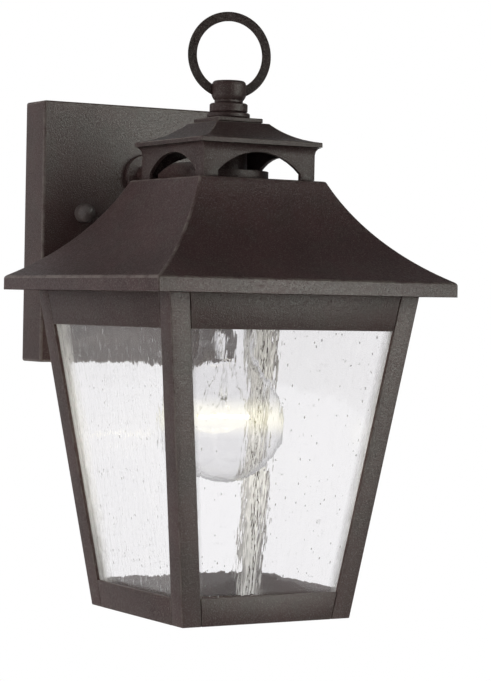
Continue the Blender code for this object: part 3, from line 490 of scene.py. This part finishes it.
def hollow_sweep(start, end, radius, steps):
    """(half-width, height) levels of a hollow arc from a low, wide point to a high, narrow one."""
    span = math.dist(start, end)
    reach = math.sqrt(radius ** 2 - span ** 2 / 4)
    along = ((end[0] - start[0]) / span, (end[1] - start[1]) / span)
    centre = ((start[0] + end[0]) / 2 + along[1] * reach,
              (start[1] + end[1]) / 2 - along[0] * reach)
    first = math.atan2(start[1] - centre[1], start[0] - centre[0])
    last = math.atan2(end[1] - centre[1], end[0] - centre[0])
    turns = (last - first + math.pi) % (2 * math.pi) - math.pi
    angles = [first + turns * step / steps for step in range(steps + 1)]
    return [(centre[0] + radius * math.cos(angle), centre[1] + radius * math.sin(angle))
            for angle in angles]


def hipped_casting(name, node, levels, easing, wall, finish):
    """The hollow piece of (half-width, height) levels, closed at its top, with soft hips."""
    shape, rim = square_shell(levels)
    bmesh.ops.edgenet_fill(shape, edges=rim)
    rounded(shape, easing, 3, 25.0)
    bmesh.ops.recalc_face_normals(shape, faces=shape.faces)
    bmesh.ops.solidify(shape, geom=shape.faces[:], thickness=wall)
    return made(name, shape, finish, "cast_bronze_finish", "lantern", node)


CAST_COAT = bronze_coat("cast_bronze_coat", brown=(0.070, 0.032, 0.032),
                        grey=(0.155, 0.122, 0.112), grain=1.4 * MM)
eave_half = (eave_high.x - eave_low.x) / 2
roof_height = eave_high.z - eave_low.z
rim_height = 6.8 * MM
roof_top_half = 35.8 * MM
slope_radius = 110 * MM
slope = hollow_sweep((eave_half, rim_height), (roof_top_half, roof_height), slope_radius, 24)
hipped_casting("roof_casting", "roof", [(eave_half, 0.0)] + slope, 1.0 * MM, 2.0 * MM, CAST_COAT)


# ---- Pan and its screws ----
# Flat sheet that closes the roof from below, held to the casting's bosses by four pan-head screws.
# Each screw's head is downwards, and has a shallow recess.
eased("pan_sheet", "roof_pan", 0.25 * MM, SHEET_COAT, "sheet_bronze_finish")
recess = 0.75 * MM
head = 2.2 * MM
shank_radius = 1.8 * MM
for number in (1, 2, 3, 4):
    low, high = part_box(f"roof_screw_{number}")
    radius = (high.x - low.x) / 2
    tall = high.z - low.z
    outline = [(0.0, recess), (0.9 * MM, recess), (1.0 * MM, 0.0), (2.1 * MM, 0.15 * MM),
               (radius - 0.35 * MM, 0.8 * MM), (radius, 1.5 * MM), (radius, head),
               (shank_radius, head), (shank_radius, tall), (0.0, tall)]
    screw = turned(outline, 32)
    bmesh.ops.translate(screw, verts=screw.verts,
                        vec=((low.x + high.x) / 2, (low.y + high.y) / 2, low.z))
    made(f"pan_screw_{number}", screw, ZINC, "zinc_plated_steel", "lantern",
         f"roof_screw_{number}")


# ---- Corner posts and rails ----
# Four corner posts of folded sheet and eight rails with an inward lip, welded between the posts and
# coated after welding, so each joint is a fine line. The top rails' coat is painted darker, as
# painted shade from the eave.
# A darker, duller copy of the sheet coat: painted shade under the eave on the top rails.
EAVE_SHADE_COAT = bronze_coat("eave_shade_bronze_coat", brown=(0.058, 0.027, 0.026),
                             grey=(0.135, 0.115, 0.10), grain=1.1 * MM, sheen=0.38)
for number in (1, 2, 3, 4):
    eased(f"post_{number}", f"corner_post_{number}", 0.45 * MM, SHEET_COAT,
          "sheet_bronze_finish", 3)
for side in ("front", "right", "back", "left"):
    for level_name, coat in (("top", EAVE_SHADE_COAT), ("bottom", SHEET_COAT)):
        eased(f"{level_name}_bar_{side}", f"{level_name}_rail_{side}", 0.3 * MM, coat,
              "sheet_bronze_finish")


# ---- Glass panes and clips ----
# Four panes of drawn glass with small seeds and fine upright waves. They stand on the bottom rails'
# lips and each is held by a spring clip under the top rail.
def glass(name, tint, waves, hairs):
    """Clear glass, waved to a strength; hairs add streaks, milky seeds and frosted upright edges."""
    material, tree, shader = plain_material(name)
    nodes, links = tree.nodes, tree.links
    shader.inputs["Base Color"].default_value = (*tint, 1.0)
    shader.inputs["Roughness"].default_value = 0.0
    shader.inputs["IOR"].default_value = 1.5
    shader.inputs["Transmission Weight"].default_value = 1.0
    place = nodes.new("ShaderNodeTexCoord")
    skin = nodes.new("ShaderNodeAttribute")
    skin.attribute_name = "outer_skin"
    apart = nodes.new("ShaderNodeCombineXYZ")
    links.new(skin.outputs["Fac"], apart.inputs["Z"])
    spot = nodes.new("ShaderNodeVectorMath")
    links.new(place.outputs["Object"], spot.inputs[0])
    links.new(apart.outputs["Vector"], spot.inputs[1])

    def patterned(kind, across, along):
        texture = nodes.new(kind)
        texture.inputs["Scale"].default_value = 1.0
        mapping = nodes.new("ShaderNodeMapping")
        mapping.inputs["Scale"].default_value = (across, across, along)
        links.new(spot.outputs["Vector"], mapping.inputs["Vector"])
        links.new(mapping.outputs["Vector"], texture.inputs["Vector"])
        return texture

    def ripple(across, along, detail=2.0):
        texture = patterned("ShaderNodeTexNoise", across, along)
        texture.inputs["Detail"].default_value = detail
        return texture.outputs["Fac"]

    normal = None
    for across, along, height in ((45.0, 38.0, 0.30 * MM), (150.0, 70.0, 0.12 * MM),
                                  (420.0, 22.0, 0.07 * MM)):
        normal = dented(tree, ripple(across, along), waves * height, 1.0, normal)
    if hairs:
        cells = patterned("ShaderNodeTexVoronoi", 350.0, 165.0)
        chance = nodes.new("ShaderNodeSeparateColor")
        links.new(cells.outputs["Color"], chance.inputs["Color"])
        reach = spread(tree, chance.outputs["Red"], 0.25, 1.0, 0.0, 0.14)
        inside = reckoned(tree, "SUBTRACT", reach, cells.outputs["Distance"])
        bead = spread(tree, inside, 0.0, 0.05)
        normal = dented(tree, bead, 0.6 * MM, 0.9, normal)
        middle = nodes.new("ShaderNodeVectorMath")
        middle.operation = "SUBTRACT"
        middle.inputs[1].default_value = axis
        links.new(place.outputs["Object"], middle.inputs[0])
        halves = nodes.new("ShaderNodeSeparateXYZ")
        links.new(middle.outputs["Vector"], halves.inputs["Vector"])
        sides = [reckoned(tree, "ABSOLUTE", halves.outputs[letter]) for letter in "XY"]
        to_corner = reckoned(tree, "ABSOLUTE", reckoned(tree, "SUBTRACT", *sides))
        frost = reckoned(tree, "MULTIPLY", spread(tree, to_corner, 10.0 * MM, 3.0 * MM),
                         spread(tree, ripple(420.0, 90.0, 4.0), 0.38, 0.6, 0.65, 1.0))
        milk = spread(tree, ripple(950.0, 80.0, 3.0), 0.62, 0.74, 0.0, hairs)
        for cloudy in (reckoned(tree, "MULTIPLY", bead, 0.4), frost, 0.01):
            milk = reckoned(tree, "MAXIMUM", milk, cloudy)
        links.new(reckoned(tree, "SUBTRACT", 1.0, milk), shader.inputs["Transmission Weight"])
        milky = mixed(tree, milk, tint, (0.96, 0.96, 0.96))
        links.new(mixed(tree, bead, milky, (0.50, 0.50, 0.50)), shader.inputs["Base Color"])
    links.new(normal, shader.inputs["Normal"])
    path = nodes.new("ShaderNodeLightPath")
    shadow = nodes.new("ShaderNodeBsdfTransparent")
    shadow.inputs["Color"].default_value = (0.92, 0.93, 0.93, 1.0)
    either = nodes.new("ShaderNodeMixShader")
    links.new(path.outputs["Is Shadow Ray"], either.inputs["Fac"])
    links.new(shader.outputs["BSDF"], either.inputs[1])
    links.new(shadow.outputs["BSDF"], either.inputs[2])
    links.new(either.outputs["Shader"], nodes["Material Output"].inputs["Surface"])
    return material


EVEN_GLASS = glass("seeded_glass_even", (0.985, 0.980, 0.990), 1.0, 0.07)
STREAKED_GLASS = glass("seeded_glass_streaked", (0.990, 0.985, 0.995), 1.0, 0.5)
for side in ("front", "right", "back", "left"):
    pane = rounded(cad_copy("glass_pane_" + side), 0.2 * MM, 1)
    skin = pane.faces.layers.float.new("outer_skin")
    for face in pane.faces:
        outward = face.calc_center_median() - axis
        outward.z = 0.0
        face[skin] = 1.0 if face.normal.dot(outward) > 0.0 else 0.0
    made("pane_" + side, pane, STREAKED_GLASS if side == "left" else EVEN_GLASS, "seeded_glass",
         "lantern", "glass_pane_" + side)
    eased("spring_clip_" + side, "pane_clip_" + side, 0.15 * MM, ZINC, "zinc_plated_steel")


# ---- Vented top and its cap ----
# Small cast square with an arch through each side, and a hollow-sided cap that rests on its flare.
# Both are cast like the roof, with a finer and duller coat whose darker brown is painted shade.
# Its brown is darker than the roof's: painted shade on the small castings at the top.
SHADED_CROWN_COAT = bronze_coat("small_casting_shaded_coat", brown=(0.056, 0.029, 0.028),
                         grey=(0.15, 0.13, 0.117), grain=1.2 * MM, sheen=0.3)
eased("vented_top", "cupola_body", 0.35 * MM, SHADED_CROWN_COAT, "cast_bronze_finish")
cap_low, cap_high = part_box("cupola_cap")
cap_half = (cap_high.x - cap_low.x) / 2
cap_foot = cap_low.z - axis.z
cap_top = cap_high.z - axis.z
cap_lip = 2.3 * MM
cap_top_half = 15 * MM
sweep = hollow_sweep((cap_half, cap_foot + cap_lip), (cap_top_half, cap_top), 32.5 * MM, 16)
hipped_casting("cap_casting", "cupola_cap", [(cap_half, cap_foot)] + sweep, 0.5 * MM, 1.8 * MM,
               SHADED_CROWN_COAT)


# ---- Hub, nipple and the nuts inside the roof ----
# Cast hub that the arm screws into. A threaded nipple hangs from it through the roof, with a washer
# and nut under the roof and a nut on the socket, and a rod stands up from it to carry the finial.
def on_axis(shape, height=0.0):
    """Moves an upright shape onto the lantern's axis and up by a height."""
    bmesh.ops.translate(shape, verts=shape.verts, vec=(axis.x, axis.y, height))
    return shape


eased("hub_casting", "hub", 0.5 * MM, SHADED_CROWN_COAT, "cast_bronze_finish")
for name, node, pitch in (("threaded_nipple", "lamp_nipple", 0.94 * MM),
                          ("threaded_rod", "finial_rod", 1.0 * MM)):
    low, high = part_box(node)
    rod = turned(threaded((high.x - low.x) / 2, pitch, low.z, high.z), 40)
    made(name, on_axis(rod), ZINC, "zinc_plated_steel", "lantern", node)
nipple_hole = 5.1 * MM
for name, node, flats in (("roof_clamp_nut", "roof_nut", 15.0 * MM),
                          ("socket_clamp_nut", "socket_nut", 13.0 * MM)):
    low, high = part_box(node)
    nut = hexagon_nut(flats, nipple_hole, high.z - low.z)
    made(name, on_axis(nut, low.z), ZINC, "zinc_plated_steel", "lantern", node)
low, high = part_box("roof_washer")
washer = tube((high.x - low.x) / 2, nipple_hole, high.z - low.z, 0.2 * MM)
made("clamp_washer", on_axis(washer, low.z), ZINC, "zinc_plated_steel", "lantern", "roof_washer")


# ---- Finial ----
# Square plinth, washer and collar, then a turned knob that carries an upright cast ring. The rod
# runs up through them into the knob.
rod_hole = 3.2 * MM
eased("plinth", "finial_plinth", 0.4 * MM, SHADED_CROWN_COAT, "cast_bronze_finish")
for name, node, easing in (("stack_washer", "finial_washer", 0.5 * MM),
                           ("stack_collar", "finial_collar", 0.6 * MM)):
    low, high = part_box(node)
    shape = tube((high.x - low.x) / 2, rod_hole, high.z - low.z, easing)
    made(name, on_axis(shape, low.z), SHADED_CROWN_COAT, "cast_bronze_finish", "lantern", node)
low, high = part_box("finial_knob")
radius = (high.x - low.x) / 2
tall = high.z - low.z
neck = 7.1 * MM
hole_depth = 1.4 * MM
outline = [(0.0, hole_depth), (rod_hole, hole_depth), (rod_hole, 0.0), (neck - 0.3 * MM, 0.0),
           (neck, 0.3 * MM), (neck, 1.3 * MM), (neck + 0.5 * MM, 1.7 * MM),
           (0.94 * radius, 2.7 * MM), (radius, 3.9 * MM), (radius, 0.68 * tall)]
for step in range(1, 7):
    angle = math.pi / 2 * step / 6
    outline.append((radius * (0.8 + 0.2 * math.cos(angle)), tall * (0.72 + 0.28 * math.sin(angle))))
knob = turned(outline + [(0.0, tall)], 64)
made("knob", on_axis(knob, low.z), SHADED_CROWN_COAT, "cast_bronze_finish", "finial", "finial_knob")
low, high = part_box("finial_ring")
rod_radius = 2.365 * MM
ring_radius = 19.4 * MM
ring_turn = math.radians(-12.0)
ring = bmesh.new()
section = bmesh.ops.create_circle(ring, segments=24, radius=rod_radius, cap_ends=False)["verts"]
bmesh.ops.translate(ring, verts=section, vec=(ring_radius, 0.0, 0.0))
swung(ring, section, math.pi / 2, "X")
bmesh.ops.spin(ring, geom=ring.verts[:] + ring.edges[:], cent=(0.0, 0.0, 0.0),
               axis=(0.0, 1.0, 0.0), angle=2 * math.pi, steps=96, use_merge=True)
bmesh.ops.recalc_face_normals(ring, faces=ring.faces)
swung(ring, ring.verts, ring_turn, "Z")
bmesh.ops.translate(ring, verts=ring.verts, vec=(low + high) / 2)
made("ring", ring, SHADED_CROWN_COAT, "cast_bronze_finish", "finial", "finial_ring")


# ---- Socket ----
# White glazed porcelain socket, open downwards, with a nickel-plated screw shell and a brass
# contact.
def glazed(name, colour):
    """Glazed porcelain, with faint clouds in its white and a slight ripple in the glaze."""
    material, tree, shader = plain_material(name)
    clouds = noise(tree, 90.0, 3.0)
    clouded = (0.9 * colour[0], 0.88 * colour[1], 0.84 * colour[2])
    tree.links.new(mixed(tree, clouds, colour, clouded), shader.inputs["Base Color"])
    shader.inputs["Roughness"].default_value = 0.22
    shader.inputs["Coat Weight"].default_value = 0.5
    shader.inputs["Coat Roughness"].default_value = 0.08
    tree.links.new(dented(tree, clouds, 0.2 * MM, 0.1), shader.inputs["Normal"])
    return material


PORCELAIN = glazed("white_glaze", (0.82, 0.81, 0.77))
NICKEL = plated_steel("nickel_plate", (0.62, 0.60, 0.56), 0.28, (0.72, 0.70, 0.66))
BRASS = plated_steel("plain_brass", (0.66, 0.46, 0.20), 0.32, (0.74, 0.56, 0.30))
low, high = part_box("socket_body")
radius = (high.x - low.x) / 2
tall = high.z - low.z
ceiling = 17.0 * MM + axis.z - low.z
bore = radius - 2.9 * MM
groove = radius - 0.6 * MM
outline = [(nipple_hole, ceiling), (bore, ceiling), (bore, 0.6 * MM), (bore + 0.6 * MM, 0.0),
           (radius - 0.8 * MM, 0.0), (radius, 0.8 * MM), (radius, 6.0 * MM), (groove, 6.6 * MM),
           (groove, 7.6 * MM), (radius, 8.2 * MM), (radius, tall - 3.4 * MM),
           (radius - 0.5 * MM, tall - 2.2 * MM), (radius - 3.0 * MM, tall), (nipple_hole, tall),
           (nipple_hole, ceiling)]
socket = turned(outline, 64)
made("porcelain_socket", on_axis(socket, low.z), PORCELAIN, "porcelain", "lantern", "socket_body")
eased("screw_shell", "socket_shell", 0.1 * MM, NICKEL, "nickel", 1)
eased("contact_spring", "socket_contact", 0.05 * MM, BRASS, "brass", 1)


# ---- Bulb ----
# Clear screw-base lamp: a thin blown envelope, a glass stem with its pressed end, two lead wires
# and three supports, and a bowed filament that glows warm. All of it comes out with the bulb.
CLEAR = glass("clear_lamp_glass", (0.965, 0.965, 0.97), 0.06, 0.0)
filament_height = axis.z - 61.0 * MM
tree = CLEAR.node_tree
place = tree.nodes.new("ShaderNodeTexCoord")
spot = tree.nodes.new("ShaderNodeSeparateXYZ")
tree.links.new(place.outputs["Object"], spot.inputs["Vector"])
from_filament = reckoned(tree, "SUBTRACT", spot.outputs["Z"], filament_height)
from_filament = reckoned(tree, "ABSOLUTE", from_filament)
halo = spread(tree, from_filament, 11.0 * MM, 1.0 * MM, 0.0, 0.08, "SMOOTHSTEP")
shader = tree.nodes["Principled BSDF"]
shader.inputs["Emission Color"].default_value = (1.0, 0.93, 0.50, 1.0)
tree.links.new(halo, shader.inputs["Emission Strength"])
glass_low, glass_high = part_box("bulb_glass")
ball = (glass_high.x - glass_low.x) / 2
neck_radius = 14.2 * MM
rim_radius = 12.7 * MM
glass_wall = 0.8 * MM


def envelope(inset):
    """(radius, height) points of the bulb's outline, from its lowest point up."""
    radius = ball - inset
    centre = glass_low.z + ball
    angles = [math.radians(4.0 * step) for step in range(31)]
    points = [(radius * math.sin(angle), centre - radius * math.cos(angle)) for angle in angles]
    start = points[-1]
    neck = neck_radius - inset
    end = (neck, glass_high.z - 9.7 * MM)
    pull = 0.45 * (end[1] - start[1])
    first = (start[0] - pull * 0.5, start[1] + pull * 0.866)
    second = (neck, end[1] - pull)
    for step in range(1, 15):
        t = step / 14
        shares = ((1 - t) ** 3, 3 * t * (1 - t) ** 2, 3 * t * t * (1 - t), t ** 3)
        pulled = list(zip(shares, (start, first, second, end)))
        points.append(tuple(sum(share * point[item] for share, point in pulled)
                            for item in (0, 1)))
    return points + [(rim_radius - inset, glass_high.z)]


blown = turned(envelope(0.0) + envelope(glass_wall)[::-1], 96)
made("lamp_envelope", on_axis(blown), CLEAR, "clear_glass", "bulb", "bulb_glass")

low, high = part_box("bulb_base")
radius = (high.x - low.x) / 2
thread_pitch = 3.6 * MM
thread_depth = 0.45 * MM
hollow_radius = 12.3 * MM
hollow_top = high.z - 6.5 * MM
height = low.z + 1.6 * MM
outline = [(0.0, hollow_top), (hollow_radius, hollow_top), (hollow_radius, low.z), (radius, low.z),
           (radius, height)]
for _ in range(4):
    for step in range(1, 9):
        groove = thread_depth * (1 - math.cos(2 * math.pi * step / 8))
        outline.append((radius - groove, height + thread_pitch * step / 8))
    height += thread_pitch
shoulder = height + 3.0 * MM
outline += [(radius - 0.3 * MM, height + 1.5 * MM), (radius - 1.2 * MM, shoulder),
            (5.9 * MM, shoulder + 2.2 * MM), (5.2 * MM, high.z - 0.7 * MM), (3.9 * MM, high.z),
            (0.0, high.z)]
made("lamp_base", on_axis(turned(outline, 72)), NICKEL, "nickel", "bulb", "bulb_base")

low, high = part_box("bulb_stem")
press_top = axis.z - 21.0 * MM
press_foot = axis.z - 32.5 * MM
stem = turned([(0.0, high.z), (5.0 * MM, high.z), (4.0 * MM, high.z - 4.0 * MM),
               (3.2 * MM, press_top + 1.0 * MM), (3.4 * MM, press_top - 3.0 * MM),
               (3.0 * MM, press_foot), (1.2 * MM, press_foot - 0.6 * MM),
               (1.1 * MM, axis.z - 50.0 * MM), (1.6 * MM, axis.z - 51.2 * MM),
               (1.1 * MM, low.z), (0.0, low.z)], 32)
pressed = [vert for vert in stem.verts
           if press_foot - 0.1 * MM < vert.co.z < press_top + 1.1 * MM]
bmesh.ops.scale(stem, verts=pressed, vec=(1.7, 1.0, 1.0))
made("lamp_stem", on_axis(stem), CLEAR, "clear_glass", "bulb", "bulb_stem")


def wire(name, points, radius, finish):
    """A round wire along points about the axis, made a mesh."""
    curve = bpy.data.curves.new(name, "CURVE")
    curve.dimensions = "3D"
    curve.bevel_depth = radius
    curve.bevel_resolution = 2
    curve.use_fill_caps = True
    line = curve.splines.new("POLY")
    line.points.add(len(points) - 1)
    for bend, place in zip(line.points, points):
        bend.co = (*(Vector(place) + Vector((axis.x, axis.y, 0.0))), 1.0)
    holder = link_object(name, curve)
    mesh = bpy.data.meshes.new_from_object(holder)
    bpy.data.objects.remove(holder)
    shape = bmesh.new()
    shape.from_mesh(mesh)
    bpy.data.meshes.remove(mesh)
    return made(name, shape, finish, "nickel", "bulb")


filament_half = 15.0 * MM
for side_name, side in (("left", -1), ("right", 1)):
    lead = [(side * 3.2 * MM, 0.0, press_foot + 4 * MM),
            (side * 4.5 * MM, 0.0, press_foot - 6 * MM),
            (side * filament_half, 0.0, filament_height)]
    wire("lead_wire_" + side_name, lead, 0.22 * MM, NICKEL)
for name, across in (("support_left", -6.5), ("support_middle", 0.0), ("support_right", 6.5)):
    support = [(0.0, 0.0, axis.z - 50.6 * MM),
               (across * 0.5 * MM, 0.5 * MM, axis.z - 56.0 * MM),
               (across * MM, 2.2 * MM, filament_height - 0.4 * MM)]
    wire(name, support, 0.12 * MM, NICKEL)
hot, tree, shader = plain_material("glowing_filament")
glow = mixed(tree, noise(tree, 300.0), (1.0, 0.88, 0.38), (1.0, 0.94, 0.60))
tree.links.new(glow, shader.inputs["Emission Color"])
shader.inputs["Emission Strength"].default_value = 1.7
shader.inputs["Base Color"].default_value = (0.3, 0.3, 0.3, 1.0)
coil_radius = 0.8 * MM
coil_turns = 24
coil_steps = 240
coil = []
for step in range(coil_steps + 1):
    share = step / coil_steps
    across = -filament_half + 2 * filament_half * share
    bow = 2.2 * MM * math.sin(math.pi * share)
    angle = 2 * math.pi * coil_turns * share
    coil.append((across, bow + coil_radius * math.cos(angle),
                 filament_height + coil_radius * math.sin(angle)))
wire("filament", coil, 0.3 * MM, hot)
lamp_data = bpy.data.lights.new("lamp_glow", "POINT")
lamp_data.energy = 0.28
lamp_data.color = (1.0, 0.96, 0.86)
lamp_data.shadow_soft_size = 6.0 * MM
lamp = link_object("lamp_glow", lamp_data)
lamp.visible_camera = False
lamp.visible_glossy = False
lamp.visible_transmission = False
lamp.location = (axis.x, axis.y, filament_height)
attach(lamp, "bulb")


# ---- Sizes ----
low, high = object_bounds()
